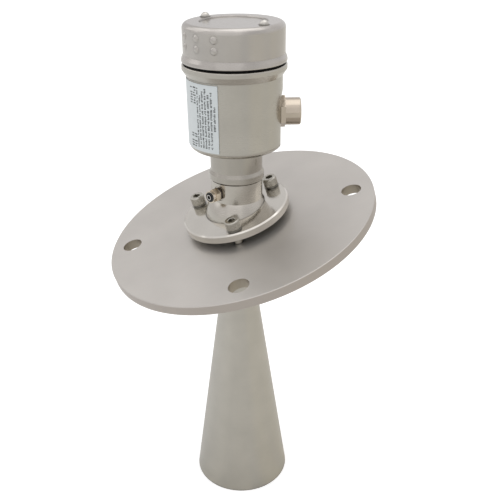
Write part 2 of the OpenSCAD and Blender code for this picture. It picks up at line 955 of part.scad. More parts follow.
module power_board() {
    board(board2_z);
}

module board_spacers() {
    color(nickel)
    around(spacer_count, spacer_r) {
        translate([0, 0, cup_floor_z]) ring(spacer_d, small_screw_d, spacer_h);
        translate([0, 0, board1_z + board_t]) ring(spacer_d, small_screw_d, spacer_h);
        translate([0, 0, board2_z + board_t])
            ring(spacer_d, small_screw_d, cover_z - cover_lip - board2_z - board_t);
    }
}

module capacitors() {
    color([0.10, 0.12, 0.30])
    translate([0, 0, board2_z + board_t])
        around(2, cap_x)
            for (side = [-1, 1])
                translate([0, side * cap_y, 0]) cylinder(d = cap_d, h = cap_h);
}

// Places its children at the ground screw, on top of the cover
module at_ground() {
    rotate([0, 0, ground_az])
        translate([cup_d / 2 - ground_edge, 0, cover_top])
            children();
}

module module_cover() {
    color(dark_plastic)
    difference() {
        union() {
            translate([0, 0, cover_z]) cylinder(d = cup_d, h = cover_t);
            translate([0, 0, cover_z - cover_lip])
                cylinder(d = cup_bore_d - 2 * snug, h = cover_lip + eps);
        }
        at_ground()
            translate([0, 0, -cover_t])
                cylinder(d = small_screw_d + 2 * snug, h = cover_t + eps);
    }
}

// Places its children at the middle of each terminal, on top of the cover
module at_terminals() {
    for (i = [0 : terminal_count - 1])
        translate([(i + 0.5) * terminal_pitch - terminal_w / 2, terminal_y, cover_top])
            children();
}

module terminal_block() {
    color([0.45, 0.50, 0.48])
    difference() {
        translate([-terminal_w / 2, terminal_y - terminal_l / 2, cover_top])
            cube([terminal_w, terminal_l, terminal_h]);
        at_terminals() {
            translate([0, terminal_shift, terminal_h / 2])
                cylinder(d = terminal_screw_d + 2 * snug, h = terminal_h);
            translate([0, 0, terminal_h / 4 + wire_hole_rise])
                rotate([90, 0, 0])
                    cylinder(d = wire_hole_d, h = terminal_l);
        }
    }
}

module terminal_screws() {
    color(steel)
    at_terminals()
        translate([0, terminal_shift, terminal_h / 2])
            difference() {
                cylinder(d = terminal_screw_d, h = terminal_h / 2 - slot_depth);
                translate([-terminal_pitch / 2, -slot_w / 2, terminal_h / 2 - 2 * slot_depth])
                    cube([terminal_pitch, slot_w, terminal_h]);
            }
}

module display_module() {
    color(dark_plastic)
    translate([-display_w / 2, display_y - display_l / 2, cover_top])
        difference() {
            cube([display_w, display_l, display_h]);
            translate([display_frame, display_frame, display_h - glass_t])
                cube([display_w - 2 * display_frame, display_l - 2 * display_frame,
                    glass_t + eps]);
        }
}

module display_glass() {
    inset = display_frame + snug;
    color([0.55, 0.62, 0.52])
    translate([inset - display_w / 2, display_y + inset - display_l / 2,
            cover_top + display_h - glass_t])
        cube([display_w - 2 * inset, display_l - 2 * inset, glass_t]);
}

module ground_screw() {
    color(steel)
    at_ground()
        difference() {
            union() {
                cylinder(d = ground_washer_d, h = ground_washer_t);
                cylinder(d = ground_head_d, h = ground_h);
                translate([0, 0, ground_tip - cover_t]) cylinder(d = small_screw_d, h = cover_t);
            }
            translate([-ground_head_d, -slot_w / 2, ground_h - slot_depth])
                cube([2 * ground_head_d, slot_w, ground_h]);
        }
}

// ---- Lid ----

module lid_dimples(ball_r) {
    for (column = [-1 : 1])
        for (row = [0 : 1])
            rotate([0, 0, dimple_az + column * dimple_step])
                translate([lid_r + dimple_h - dimple_ball_r, 0,
                        lid_top - dimple_drop - row * dimple_row])
                    sphere(r = ball_r, $fn = 32);
}

// Solid of the lid, drawn inwards by the given depth
module lid_solid(inset) {
    rotate_extrude($fn = 96)
        polygon(concat(
            [
                [0, lid_z],
                [lid_r - inset, lid_z]
            ],
            arc(lid_r - lid_corner, lid_top - lid_corner,
                lid_corner - inset, lid_corner - inset, 0, 90),
            [
                [lid_recess_d / 2 + recess_slope, lid_top - inset],
                [lid_recess_d / 2, lid_top - lid_recess - inset],
                [0, lid_top - lid_recess - inset]
            ]
        ));
}

module lid_rim() {
    rotate_extrude($fn = 96)
        polygon(concat(
            [[lid_r - lid_wall / 2, lid_z]],
            arc(rim_r - rim_round, lid_z + rim_round, rim_round, rim_round, -90, 0, 4),
            [
                [rim_r - lid_rim_draft, lid_z + rim_round + lid_rim_band],
                [lid_r, lid_z + rim_round + lid_rim_band + lid_rim_slope],
                [lid_r - lid_wall / 2, lid_z + rim_round + lid_rim_band + lid_rim_slope]
            ]
        ));
}

module lid() {
    color(steel)
    difference() {
        union() {
            lid_solid(0);
            lid_rim();
            intersection() {
                lid_dimples(dimple_ball_r);
                translate([0, 0, lid_z]) cylinder(r = rim_r + dimple_h, h = lid_h);
            }
        }
        translate([0, 0, -eps]) lid_solid_inside();
        lid_dimples(dimple_ball_r - lid_wall);
        around(2, stud_r, stud_az)
            translate([0, 0, lid_z])
                cylinder(d = stud_shank_d + 2 * snug, h = lid_h + eps);
    }
}

// Inside of the lid, reaching a little below its open edge
module lid_solid_inside() {
    translate([0, 0, eps]) lid_solid(lid_wall);
    translate([0, 0, lid_z]) cylinder(r = lid_r - lid_wall, h = lid_corner);
}

module lid_studs() {
    color(bright_steel)
    around(2, stud_r, stud_az)
        translate([0, 0, lid_top]) {
            cylinder(d = stud_foot_d, h = stud_foot_t);
            intersection() {
                translate([0, 0, stud_foot_t - stud_sink]) sphere(d = stud_d, $fn = 32);
                cylinder(d = stud_foot_d, h = stud_d);
            }
            translate([0, 0, -lid_wall]) cylinder(d = stud_shank_d, h = lid_wall + eps);
            translate([0, 0, -lid_wall - stud_tail])
                cylinder(d = stud_tail_d, h = stud_tail);
        }
}

module lid_seal() {
    color(rubber)
    translate([0, 0, rim_z])
        ring(lid_d - 2 * seal_inset, 2 * (thread_r + snug), lid_seal_t);
}

flange_plate();
clamp_ring();
clamp_screws();
spring_washers();
seat_ring();
ball_neck();
horn();
horn_seal();
horn_emitter();
waveguide();
purge_fitting();
purge_washer();
purge_seal();
purge_insert();
purge_collet();
neck_seal();
retaining_clip();
neck_socket();
housing_can();
thread_ring();
nameplate();
cable_adapter();
adapter_washer();
adapter_nut();
radar_module();
electronics_cup();
module_screws();
main_board();
power_board();
board_spacers();
capacitors();
module_cover();
terminal_block();
terminal_screws();
display_module();
display_glass();
ground_screw();
lid();
lid_studs();
lid_seal();
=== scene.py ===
import json
import math
import random

import bpy
from mathutils import Matrix, Vector


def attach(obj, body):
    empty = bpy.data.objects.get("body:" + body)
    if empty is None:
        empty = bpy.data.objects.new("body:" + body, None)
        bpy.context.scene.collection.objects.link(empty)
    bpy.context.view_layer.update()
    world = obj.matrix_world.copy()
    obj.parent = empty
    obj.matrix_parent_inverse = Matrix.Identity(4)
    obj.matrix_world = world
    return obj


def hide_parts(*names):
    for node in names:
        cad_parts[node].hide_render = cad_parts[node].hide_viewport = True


# ---- Frame and sizes -------------------------------------------------------

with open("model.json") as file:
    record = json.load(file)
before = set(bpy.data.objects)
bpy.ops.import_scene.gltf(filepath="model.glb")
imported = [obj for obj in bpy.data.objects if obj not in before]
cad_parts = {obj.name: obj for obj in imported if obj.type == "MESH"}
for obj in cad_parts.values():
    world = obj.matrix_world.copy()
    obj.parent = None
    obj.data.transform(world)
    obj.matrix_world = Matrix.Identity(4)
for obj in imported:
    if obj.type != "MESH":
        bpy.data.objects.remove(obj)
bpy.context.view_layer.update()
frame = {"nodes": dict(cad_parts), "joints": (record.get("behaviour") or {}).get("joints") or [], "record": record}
NODES = frame["nodes"]
MM = 0.001

MOUNTS = {m["name"]: m for m in frame["record"]["mounts"]}
JOINTS = {j["name"]: j for j in frame["joints"]}
BALL = Vector(JOINTS["aim_swivel"]["pos_m"])
LEAN_AXIS = Vector(JOINTS["aim_swivel"]["axis"]).normalized()
UPRIGHT = LEAN_AXIS.rotation_difference(Vector((0, 0, 1))).to_matrix()


def points_of(name):
    """The corners of a CAD node, in the frame's own axes."""
    node = NODES[name]
    return [node.matrix_world @ vertex.co for vertex in node.data.vertices]


def seen_from_ball(point):
    """A point in the leaning flange's axes: the ball's centre, +Z along the lean."""
    return UPRIGHT @ (Vector(point) - BALL)


def put_back(point):
    """A point in the leaning flange's axes, put back into the frame's own."""
    return UPRIGHT.transposed() @ Vector(point) + BALL


# ---- Camera, floor and light -----------------------------------------------

CAMERA_PLACE = Vector((0.0, -0.5865, 0.5546))
CAMERA_PITCH = math.radians(26.793)
CAMERA_YAW = math.radians(1.094)
CAMERA_ROLL = math.radians(-0.630)
CAMERA_LENS = 50.2
SENSOR = 36.0
CLIP_NEAR = 0.01
CLIP_FAR = 60.0


def make_camera():
    forward = Vector((
        math.sin(CAMERA_YAW) * math.cos(CAMERA_PITCH),
        math.cos(CAMERA_YAW) * math.cos(CAMERA_PITCH),
        -math.sin(CAMERA_PITCH),
    ))
    level = forward.cross(Vector((0, 0, 1))).normalized()
    upward = level.cross(forward)
    right = level * math.cos(CAMERA_ROLL) + upward * math.sin(CAMERA_ROLL)
    up = upward * math.cos(CAMERA_ROLL) - level * math.sin(CAMERA_ROLL)
    data = bpy.data.cameras.new("camera")
    data.lens = CAMERA_LENS
    data.sensor_width = SENSOR
    data.clip_start = CLIP_NEAR
    data.clip_end = CLIP_FAR
    camera = bpy.data.objects.new("camera", data)
    turn = Matrix((right, up, -forward)).transposed()
    camera.matrix_world = Matrix.Translation(CAMERA_PLACE) @ turn.to_4x4()
    bpy.context.scene.collection.objects.link(camera)
    bpy.context.scene.camera = camera


def math_node(tree, operation, a, b=None):
    """The result of one calculation on sockets or plain numbers."""
    node = tree.nodes.new("ShaderNodeMath")
    node.operation = operation
    for slot, item in enumerate((a, b)):
        if item is None:
            continue
        if isinstance(item, (int, float)):
            node.inputs[slot].default_value = item
        else:
            tree.links.new(item, node.inputs[slot])
    return node.outputs[0]


def split_axes(tree, source):
    """The X, Y and Z of a vector."""
    node = tree.nodes.new("ShaderNodeSeparateXYZ")
    tree.links.new(source, node.inputs[0])
    return node.outputs


def add_waves(tree, level, compass, waves):
    """The level, with each wave's count round the compass, turn and size added."""
    for count, turn, size in waves:
        angle = math_node(tree, "ADD", math_node(tree, "MULTIPLY", compass, count), turn)
        wave = math_node(tree, "SINE", angle)
        level = math_node(tree, "ADD", level, math_node(tree, "MULTIPLY", wave, size))
    return level


def seen_by(tree, camera, glossy, other):
    """A strength for camera and transmission rays, one for glossy rays, one for the rest."""
    rays = tree.nodes.new("ShaderNodeLightPath")
    clear = math_node(tree, "MAXIMUM", rays.outputs["Is Camera Ray"],
                      rays.outputs["Is Transmission Ray"])
    inner = tree.nodes.new("ShaderNodeMix")
    inner.inputs["A"].default_value = other
    tree.links.new(glossy, inner.inputs["B"])
    tree.links.new(rays.outputs["Is Glossy Ray"], inner.inputs["Factor"])
    outer = tree.nodes.new("ShaderNodeMix")
    outer.inputs["B"].default_value = camera
    tree.links.new(inner.outputs["Result"], outer.inputs["A"])
    tree.links.new(clear, outer.inputs["Factor"])
    return outer.outputs["Result"]


def tinted_in_metal(tree, colour, target):
    """White to the camera and to the light it gives, and this colour where metal mirrors it."""
    tint = tree.nodes.new("ShaderNodeMix")
    tint.data_type = "RGBA"
    tint.inputs["A"].default_value = (1, 1, 1, 1)
    if isinstance(colour, tuple):
        tint.inputs["B"].default_value = colour
    else:
        tree.links.new(colour, tint.inputs["B"])
    rays = tree.nodes.new("ShaderNodeLightPath")
    tree.links.new(rays.outputs["Is Glossy Ray"], tint.inputs["Factor"])
    tree.links.new(tint.outputs["Result"], target)


FLOOR_HALF = 14.0
FLOOR_DROP = 0.0002
FLOOR_COLOUR = (0.8, 0.8, 0.8, 1)
FLOOR_ROUGH = 0.9
FLOOR_GLOSS = 0.1
# The floor's glow to the camera
FLOOR_WHITE = 0.5
# The floor's glow in reflections: its level, which rises a little from the warm side to
# the pale one, and the two sides' colours. The pale side's compass angle, and the cosine
# of the angle from it at which the floor is all warm
FLOOR_MIRROR = 0.10
FLOOR_MIRROR_RISE = 0.03
FLOOR_WARM = (1.0, 0.76, 0.22)
FLOOR_PALE = (0.98, 0.99, 1.0)
FLOOR_PALE_SIDE = math.radians(165)
FLOOR_ALL_WARM = -0.6
# How much less it glows right in front, and the sine of the compass angle where that ends
FLOOR_FRONT_DIP = 0.06
FLOOR_FRONT_END = -0.65
# Soft bands in that glow: waves round the compass, their turn and size
FLOOR_WAVES = ((7.0, 0.4, 0.018), (13.0, 1.1, 0.012))


def make_floor():
    mesh = bpy.data.meshes.new("floor")
    corners = [(-1, -1, 0), (1, -1, 0), (1, 1, 0), (-1, 1, 0)]
    mesh.from_pydata([Vector(c) * FLOOR_HALF for c in corners], [], [(0, 1, 2, 3)])
    floor = bpy.data.objects.new("floor", mesh)
    floor.location.z = -FLOOR_DROP
    bpy.context.scene.collection.objects.link(floor)
    m = Maker("floor_paper")
    m.value("Base Color", FLOOR_COLOUR)
    m.value("Roughness", FLOOR_ROUGH)
    m.value("Specular IOR Level", FLOOR_GLOSS)
    x, y, _ = split_axes(m.tree, m.place())
    compass = m.math("ARCTAN2", y, x)
    swing = m.math("COSINE", m.math("SUBTRACT", compass, FLOOR_PALE_SIDE))
    pale = m.spread(swing, 0.0, 1.0, FLOOR_ALL_WARM, 1.0)
    tinted_in_metal(m.tree, m.tint(pale, FLOOR_WARM, FLOOR_PALE, 0.0, 1.0),
                    m.shader.inputs["Emission Color"])
    mirror = m.math("ADD", m.math("MULTIPLY", pale, FLOOR_MIRROR_RISE), FLOOR_MIRROR)
    front = m.spread(m.math("SINE", compass), FLOOR_FRONT_DIP, 0.0, -1.0, FLOOR_FRONT_END)
    mirror = add_waves(m.tree, m.math("SUBTRACT", mirror, front), compass, FLOOR_WAVES)
    m.link(seen_by(m.tree, FLOOR_WHITE, mirror, 0.0), m.shader.inputs["Emission Strength"])
    mesh.materials.append(m.material)


def make_light(name, place, target, size, power):
    data = bpy.data.lights.new(name, "AREA")
    data.energy = power
    data.size = size
    light = bpy.data.objects.new(name, data)
    light.location = place
    aim = Vector(target) - Vector(place)
    light.rotation_euler = aim.to_track_quat("-Z", "Y").to_euler()
    bpy.context.scene.collection.objects.link(light)


# The studio in reflections: its level, bands in it as waves round the compass with their
# turn and size, and its colour
STUDIO_LEVEL = 0.84
STUDIO_WAVES = ((2.0, 0.6, 0.04), (5.0, 1.9, 0.04), (9.0, 0.4, 0.02))
STUDIO_COOL = (0.99, 0.975, 0.985, 1)
# How brightly the studio shows to the camera, and how brightly it lights the object
STUDIO_WHITE = 1.0
STUDIO_LIGHT = 0.85
# How much brighter reflections show the ceiling, above this height on the unit sky
CEILING_RISE = 0.55
CEILING_FROM = 0.62


def make_world():
    """White to the camera, banded in reflections, and a plain light on everything."""
    world = bpy.data.worlds.new("studio")
    world.use_nodes = True
    tree = world.node_tree
    coords = tree.nodes.new("ShaderNodeTexCoord")
    x, y, z = split_axes(tree, coords.outputs["Generated"])
    compass = math_node(tree, "ARCTAN2", y, x)
    level = add_waves(tree, STUDIO_LEVEL, compass, STUDIO_WAVES)
    over = math_node(tree, "MAXIMUM", math_node(tree, "SUBTRACT", z, CEILING_FROM), 0.0)
    ceiling = math_node(tree, "MULTIPLY", over, CEILING_RISE / (1.0 - CEILING_FROM))
    level = math_node(tree, "ADD", level, ceiling)
    back = tree.nodes["Background"]
    glow = seen_by(tree, STUDIO_WHITE, level, STUDIO_LIGHT)
    tree.links.new(glow, back.inputs["Strength"])
    tinted_in_metal(tree, STUDIO_COOL, back.inputs["Color"])
    bpy.context.scene.world = world
    bpy.context.scene.view_settings.view_transform = "Standard"


# Lamps, all aimed at one point of the axis: name, place, size in metres, power in watts
LAMPS = (
    ("key", (-1.6, 0.5, 1.7), 1.8, 4.5),
    ("fill", (-0.5, -2.2, 1.4), 2.6, 3.5),
    ("top", (0.3, 0.2, 2.0), 1.4, 3),
)
LAMP_TARGET = (0, 0, 0.3)


def make_studio():
    make_world()
    make_floor()
    for name, place, size, power in LAMPS:
        make_light(name, place, LAMP_TARGET, size, power)


# ---- Materials ---------------------------------------------------------------

# Painted shade in creases: how far it looks, and the openness at which it is full and gone
CREASE_SHADE_REACH = 2.0 * MM
CREASE_SHADE_FULL = 0.55
CREASE_SHADE_GONE = 0.97
CREASE_SHADE_SAMPLES = 6
# Heights of the bumps: the grain of most finishes, and the lines of turned steel
FINE_BUMP = 0.1 * MM
LINE_BUMP = 0.12 * MM
LINE_STRENGTH = 0.12


class Maker:
    """Builds one node material step by step."""

    def __init__(self, name):
        self.material = bpy.data.materials.new(name)
        self.material.use_nodes = True
        self.tree = self.material.node_tree
        self.shader = self.tree.nodes["Principled BSDF"]

    def add(self, kind, **values):
        node = self.tree.nodes.new(kind)
        for key, value in values.items():
            setattr(node, key, value)
        return node

    def link(self, source, target):
        self.tree.links.new(source, target)

    def value(self, socket, number):
        self.shader.inputs[socket].default_value = number

    def math(self, operation, a, b=None):
        return math_node(self.tree, operation, a, b)

    def mixed(self, first, second, share):
        """Two patterns as one, with this share of the first."""
        return self.math("ADD", self.math("MULTIPLY", first, share),
                         self.math("MULTIPLY", second, 1.0 - share))

    def paint(self, colour):
        self.link(colour, self.shader.inputs["Base Color"])

    def polish(self, source, rough, finer, coarser):
        """Roughness that a pattern takes from this much finer to this much coarser."""
        self.link(self.spread(source, rough - finer, rough + coarser),
                  self.shader.inputs["Roughness"])

    def place(self, tilted=False):
        """Object coordinates, turned upright first for the leaning pieces."""
        coords = self.add("ShaderNodeTexCoord")
        if not tilted:
            return coords.outputs["Object"]
        mapping = self.add("ShaderNodeMapping")
        mapping.inputs["Rotation"].default_value = UPRIGHT.to_euler()
        mapping.inputs["Location"].default_value = UPRIGHT @ (-BALL)
        self.link(coords.outputs["Object"], mapping.inputs["Vector"])
        return mapping.outputs["Vector"]

    def lathe_vector(self, source, around=0.6, along=1400.0):
        """Vector that changes fast along the profile and slowly around the axis."""
        x, y, z = split_axes(self.tree, source)
        radius = self.math("SQRT", self.math("ADD", self.math("MULTIPLY", x, x),
                                             self.math("MULTIPLY", y, y)))
        angle = self.math("ARCTAN2", y, x)
        join = self.add("ShaderNodeCombineXYZ")
        self.link(self.math("MULTIPLY", angle, around), join.inputs[0])
        self.link(self.math("MULTIPLY", radius, along), join.inputs[1])
        self.link(self.math("MULTIPLY", z, along), join.inputs[2])
        return join.outputs[0]

    def noise(self, vector, scale, detail=3.0, roughness=0.55):
        node = self.add("ShaderNodeTexNoise")
        node.inputs["Scale"].default_value = scale
        node.inputs["Detail"].default_value = detail
        node.inputs["Roughness"].default_value = roughness
        self.link(vector, node.inputs["Vector"])
        return node.outputs["Fac"]

    def spread(self, source, low, high, from_low=0.3, from_high=0.7):
        node = self.add("ShaderNodeMapRange")
        node.inputs["From Min"].default_value = from_low
        node.inputs["From Max"].default_value = from_high
        node.inputs["To Min"].default_value = low
        node.inputs["To Max"].default_value = high
        self.link(source, node.inputs["Value"])
        return node.outputs["Result"]

    def tint(self, factor, dark, light, from_low=0.3, from_high=0.7):
        ramp = self.add("ShaderNodeValToRGB")
        ramp.color_ramp.elements[0].position = from_low
        ramp.color_ramp.elements[0].color = (*dark, 1)
        ramp.color_ramp.elements[1].position = from_high
        ramp.color_ramp.elements[1].color = (*light, 1)
        self.link(factor, ramp.inputs["Fac"])
        return ramp.outputs["Color"]

    def shade_creases(self, colour, reach=CREASE_SHADE_REACH, depth=0.5, deep=CREASE_SHADE_FULL):
        """The colour, darker by depth where the shape closes in on itself: painted shade in creases."""
        near = self.add("ShaderNodeAmbientOcclusion", samples=CREASE_SHADE_SAMPLES)
        near.inputs["Distance"].default_value = reach
        # Painted shade: ambient occlusion darkens the colour in creases, corners and under things
        crease_shade = self.spread(near.outputs["AO"], 1.0 - depth, 1.0, deep, CREASE_SHADE_GONE)
        mix = self.add("ShaderNodeMix", data_type="RGBA", blend_type="MULTIPLY")
        mix.inputs["Factor"].default_value = 1.0
        self.link(colour, mix.inputs["A"])
        self.link(crease_shade, mix.inputs["B"])
        return mix.outputs["Result"]

    def bump(self, height, strength, distance):
        node = self.add("ShaderNodeBump")
        node.inputs["Strength"].default_value = strength
        node.inputs["Distance"].default_value = distance
        self.link(height, node.inputs["Height"])
        self.link(node.outputs["Normal"], self.shader.inputs["Normal"])


def shade(colour, factor):
    return tuple(min(1.0, c * factor) for c in colour)


def turned_steel(name, colour, rough=0.3, tilted=False, lines=1.0, mottle=0.05, crease_shade=0.5,
                 deep=CREASE_SHADE_FULL):
    """Steel with fine lines round its axis, faint clouds, uneven polish and painted shade in its creases."""
    m = Maker(name)
    place = m.place(tilted)
    fine = m.noise(m.lathe_vector(place), scale=1.0, detail=4.0, roughness=0.6)
    cloud = m.noise(place, scale=38.0, detail=4.0, roughness=0.5)
    clean = m.tint(cloud, shade(colour, 1 - mottle), shade(colour, 1 + mottle))
    # Painted shade in the creases over the clouded colour
    m.paint(m.shade_creases(clean, depth=crease_shade, deep=deep))
    m.polish(m.mixed(fine, cloud, share=0.6), rough, finer=0.05, coarser=0.07)
    m.value("Metallic", 1.0)
    m.bump(fine, strength=LINE_STRENGTH * lines, distance=LINE_BUMP)
    return m.material


# The plate's painted shade: a wider reach than elsewhere, for the painted shadow round the clamp ring's foot
PLATE_SHADE_REACH = 4.5 * MM
PLATE_SHADE_DEPTH = 0.65
PLATE_METALLIC = 0.8
# Rolling strokes: changes a metre along the flange's X, Y and Z
PLATE_STROKES = (14.0, 900.0, 14.0)
# Cosines between a surface's normal and the flange's axis: a wall up to the first, a face
# from the second
PLATE_WALL = 0.3
PLATE_FACE = 0.75


def satin_plate(name, colour, rough, cut, hole_shade, hole_reach):
    """Rolled plate: faint strokes over soft clouds, a darker turned outer edge, and painted shade on the drilled
    holes' walls and in creases.
    """
    m = Maker(name)
    place = m.place(True)
    stretch = m.add("ShaderNodeMapping")
    stretch.inputs["Scale"].default_value = PLATE_STROKES
    m.link(place, stretch.inputs["Vector"])
    strokes = m.noise(stretch.outputs["Vector"], scale=1.0, detail=4.0, roughness=0.6)
    cloud = m.noise(place, scale=24.0, detail=5.0, roughness=0.55)
    face = m.tint(cloud, shade(colour, 0.96), shade(colour, 1.04))
    coords = m.add("ShaderNodeTexCoord")
    facing = m.add("ShaderNodeVectorMath", operation="DOT_PRODUCT")
    facing.inputs[1].default_value = LEAN_AXIS
    m.link(coords.outputs["Normal"], facing.inputs[0])
    flatness = m.math("ABSOLUTE", facing.outputs["Value"])
    wall = m.spread(flatness, 1.0, 0.0, PLATE_WALL, PLATE_FACE)
    flat = m.add("ShaderNodeVectorMath", operation="MULTIPLY")
    flat.inputs[1].default_value = (1, 1, 0)
    m.link(place, flat.inputs[0])
    far = m.add("ShaderNodeVectorMath", operation="LENGTH")
    m.link(flat.outputs[0], far.inputs[0])
    # Walls in the holes take the painted shade colour, the outer edge its own darker colour
    side = m.tint(m.spread(far.outputs["Value"], 0.0, 1.0, hole_reach, hole_reach + MM),
                  hole_shade, cut, 0.0, 1.0)
    mix = m.add("ShaderNodeMix", data_type="RGBA")
    m.link(wall, mix.inputs["Factor"])
    m.link(face, mix.inputs["A"])
    m.link(side, mix.inputs["B"])
    # Painted shade by ambient occlusion: the painted shadow round the clamp ring's foot, and darker creases
    m.paint(m.shade_creases(mix.outputs["Result"], reach=PLATE_SHADE_REACH, depth=PLATE_SHADE_DEPTH))
    m.polish(m.mixed(strokes, cloud, share=0.45), rough, finer=0.04, coarser=0.05)
    m.value("Metallic", PLATE_METALLIC)
    m.bump(strokes, strength=0.05, distance=FINE_BUMP)
    return m.material


def plated(name, colour, rough=0.16):
    """Bright nickel plate with small ripples."""
    m = Maker(name)
    place = m.place()
    cloud = m.noise(place, scale=160.0, detail=3.0, roughness=0.5)
    m.paint(m.tint(cloud, shade(colour, 0.94), shade(colour, 1.05)))
    m.polish(cloud, rough, finer=0.04, coarser=0.06)
    m.value("Metallic", 1.0)
    ripples = m.noise(place, scale=420.0, detail=2.0)
    m.bump(ripples, strength=0.08, distance=FINE_BUMP)
    return m.material


def moulded(name, colour, rough=0.5, grain=900.0, strength=0.15, cloudy=0.1, gloss=0.5):
    """Plastic or rubber with a fine grain."""
    m = Maker(name)
    place = m.place()
    cloud = m.noise(place, scale=90.0, detail=3.0)
    m.paint(m.tint(cloud, shade(colour, 1 - cloudy), shade(colour, 1 + cloudy)))
    m.polish(cloud, rough, finer=0.05, coarser=0.08)
    m.value("Specular IOR Level", gloss)
    m.bump(m.noise(place, scale=grain, detail=3.0), strength, distance=FINE_BUMP)
    return m.material


STEEL = (0.475, 0.455, 0.41)
NICKEL = (0.49, 0.43, 0.355)

FLANGE_CUT = (0.44, 0.40, 0.365)
# Painted shade for the holes' walls
FLANGE_HOLE_SHADE = (0.37, 0.33, 0.27)
# Walls nearer to the flange's axis than this are in holes, and beyond it is the outer edge
FLANGE_HOLE_REACH = 118 * MM

# The CAD nodes' materials: each one's name, its base colour and mostly its roughness
MATERIALS = {
    "flange_plate": satin_plate("flange_steel", (0.555, 0.53, 0.497), 0.42, FLANGE_CUT,
                                FLANGE_HOLE_SHADE, FLANGE_HOLE_REACH),
    "clamp_ring": turned_steel("ring_steel", (0.66, 0.635, 0.585), 0.13, tilted=True,
                               lines=0.15),
    "clamp_screws": turned_steel("screw_steel", (0.50, 0.48, 0.43), 0.25, tilted=True),
    "spring_washers": turned_steel("washer_steel", (0.30, 0.29, 0.26), 0.35, tilted=True),
    # The seat ring is black partly as painted shade, so that the gap under the clamp ring stays dark
    "seat_ring": moulded("seat_black", (0.02, 0.02, 0.02), 0.5),
    # The neck and its socket take only a little painted shade in their creases
    "ball_neck": turned_steel("neck_steel", (0.49, 0.465, 0.42), 0.24, lines=0.3,
                              crease_shade=0.1),
    "neck_socket": turned_steel("socket_steel", (0.40, 0.378, 0.338), 0.24, lines=0.35,
                                crease_shade=0.1),
    "horn": turned_steel("horn_steel", STEEL, 0.34, lines=0.4),
    "horn_emitter": moulded("emitter_ptfe", (0.86, 0.86, 0.83), 0.4),
    "waveguide": plated("guide_plate", (0.66, 0.62, 0.54)),
    "purge_fitting": plated("fitting_nickel", (0.62, 0.55, 0.45), 0.18),
    "purge_washer": plated("purge_washer_nickel", (0.50, 0.45, 0.37), 0.22),
    "purge_insert": turned_steel("insert_steel", (0.55, 0.53, 0.50), 0.25),
    "purge_collet": moulded("collet_plastic", (0.012, 0.012, 0.012), 0.4),
    "retaining_clip": turned_steel("spring_steel", (0.20, 0.20, 0.21), 0.35),
    "housing_can": turned_steel("can_steel", shade(STEEL, 0.96), 0.24, lines=0.12),
    "thread_ring": turned_steel("thread_steel", (0.52, 0.50, 0.46), 0.3),
    "nameplate": moulded("nameplate_foil", (0.645, 0.685, 0.695), 0.42, strength=0.05,
                         cloudy=0.03),
    "cable_adapter": plated("adapter_nickel", NICKEL, 0.16),
    "adapter_nut": plated("nut_nickel", NICKEL, 0.2),
    "radar_module": turned_steel("module_metal", (0.55, 0.55, 0.55), 0.3),
    "electronics_cup": moulded("cup_plastic", (0.03, 0.03, 0.032), 0.45),
    "module_cover": moulded("cover_plastic", (0.035, 0.035, 0.038), 0.45),
    "module_screws": turned_steel("small_screw_steel", (0.5, 0.49, 0.46), 0.25),
    "main_board": moulded("board_green", (0.02, 0.10, 0.05), 0.3),
    "power_board": moulded("board_green_2", (0.02, 0.10, 0.05), 0.3),
    "board_spacers": plated("spacer_nickel", (0.6, 0.58, 0.54), 0.2),
    "capacitors": moulded("capacitor_sleeve", (0.02, 0.03, 0.10), 0.25),
    "terminal_block": moulded("terminal_plastic", (0.22, 0.26, 0.25), 0.4),
    "terminal_screws": turned_steel("terminal_screw_steel", (0.55, 0.53, 0.5), 0.25),
    "display_module": moulded("display_bezel", (0.03, 0.03, 0.033), 0.35),
    "display_glass": moulded("display_window", (0.20, 0.24, 0.17), 0.12, strength=0.0),
    "ground_screw": turned_steel("ground_screw_steel", (0.55, 0.53, 0.5), 0.25),
    # The lid's painted shade is stronger and tighter, darkening the foot of its dimples and its creases
    "lid": turned_steel("lid_steel", (0.475, 0.452, 0.422), 0.2, lines=0.12,
                        crease_shade=0.6, deep=0.76),
    "lid_studs": turned_steel("stud_steel", (0.56, 0.54, 0.50), 0.24),
}
# For the CAD nodes that the table leaves out: three seals and the adapter's washer
RUBBER = moulded("seal_rubber", (0.003, 0.003, 0.003), 0.6, gloss=0.08)
MATERIALS["purge_seal"] = moulded("purge_rubber", (0.035, 0.026, 0.02), 0.55)


def dress_nodes():
    for name, node in NODES.items():
        material = MATERIALS.get(name, RUBBER)
        if not node.data.materials:
            node.data.materials.append(material)
        for slot in range(len(node.data.materials)):
            node.data.materials[slot] = material


# ---- Pieces of the look --------------------------------------------------------


def make_piece(name, vertices, faces, material, body, sharp=40):
    """A mesh piece in the frame's axes, shaded smooth up to a sharp angle."""
    mesh = bpy.data.meshes.new(name)
    mesh.from_pydata([Vector(v) for v in vertices], [], faces)
    mesh.polygons.foreach_set("use_smooth", [True] * len(mesh.polygons))
    mesh.set_sharp_from_angle(angle=math.radians(sharp))
    mesh.materials.append(material)
    piece = bpy.data.objects.new(name, mesh)
    bpy.context.scene.collection.objects.link(piece)
    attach(piece, body)
    return piece


def skin(rings, start=0):
    """Faces that join rings of equal length and close both ends."""
    count = len(rings[0])
    last = start + (len(rings) - 1) * count
    faces = [tuple(range(start + count - 1, start - 1, -1)), tuple(range(last, last + count))]
    for ring in range(len(rings) - 1):
        low = start + ring * count
        for at in range(count):
            after = (at + 1) % count
            faces.append((low + at, low + after, low + count + after, low + count + at))
    return faces


# Clamp screws: knurled heads with a hexagon socket, on the places of the CAD's screws
TIP_CHAMFER = 0.8 * MM
